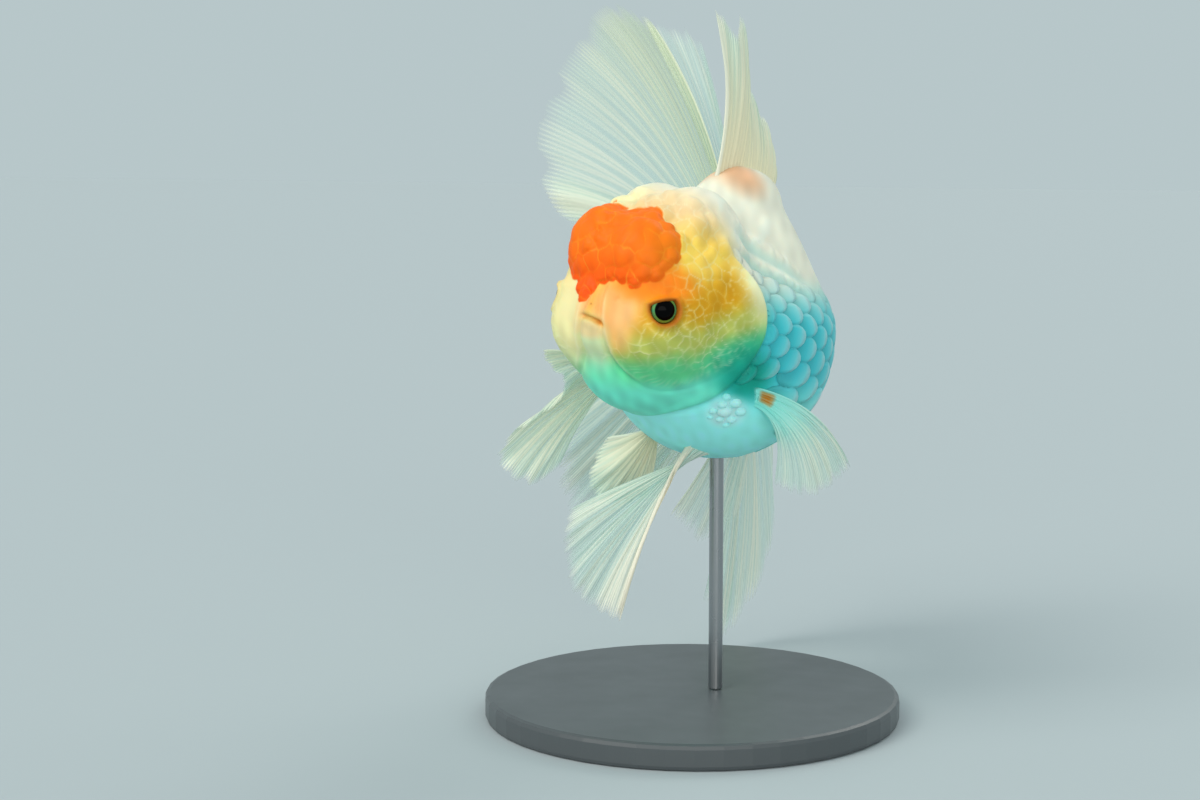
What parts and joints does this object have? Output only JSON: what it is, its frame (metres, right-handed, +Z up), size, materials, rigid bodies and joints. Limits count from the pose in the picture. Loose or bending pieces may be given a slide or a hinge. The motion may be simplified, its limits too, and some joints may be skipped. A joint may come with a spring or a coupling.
{
  "type": "fancy goldfish model on a display stand",
  "caption": "Life-size still model of a red-cap oranda goldfish, turning to its right with its long twin tail spread, held over a round base by a short rod.",
  "frame": {"origin": "centre of the round base's underside, on the floor", "axes": "+Z up; the middle of the trunk faces -Y, with the head turned towards -X; the fish's left side is towards +X"},
  "size_m": [0.1358, 0.1921, 0.2253],
  "materials": {
    "wen_skin": "moist satin",
    "head_skin": "moist satin",
    "gill_skin": "moist satin",
    "body_scales": "pearly",
    "fin": "translucent satin",
    "eye": "wet gloss",
    "base": "satin",
    "rod": "satin"
  },
  "bodies": {
    "root": {"wen": "wen_skin", "head": "head_skin", "gill_cover_left": "gill_skin", "gill_cover_right": "gill_skin", "eye_left": "eye", "eye_right": "eye", "trunk": "body_scales", "tail_stem": "body_scales", "dorsal_fin": "fin", "tail_fin_upper_right": "fin", "tail_fin_upper_left": "fin", "tail_fin_lower_left": "fin", "tail_fin_lower_right": "fin", "anal_fin_left": "fin", "anal_fin_right": "fin", "pelvic_fin_left": "fin", "pelvic_fin_right": "fin", "pectoral_fin_left": "fin", "pectoral_fin_right": "fin", "stand_base": "base", "stand_rod": "rod"}
  },
  "joints": []
}
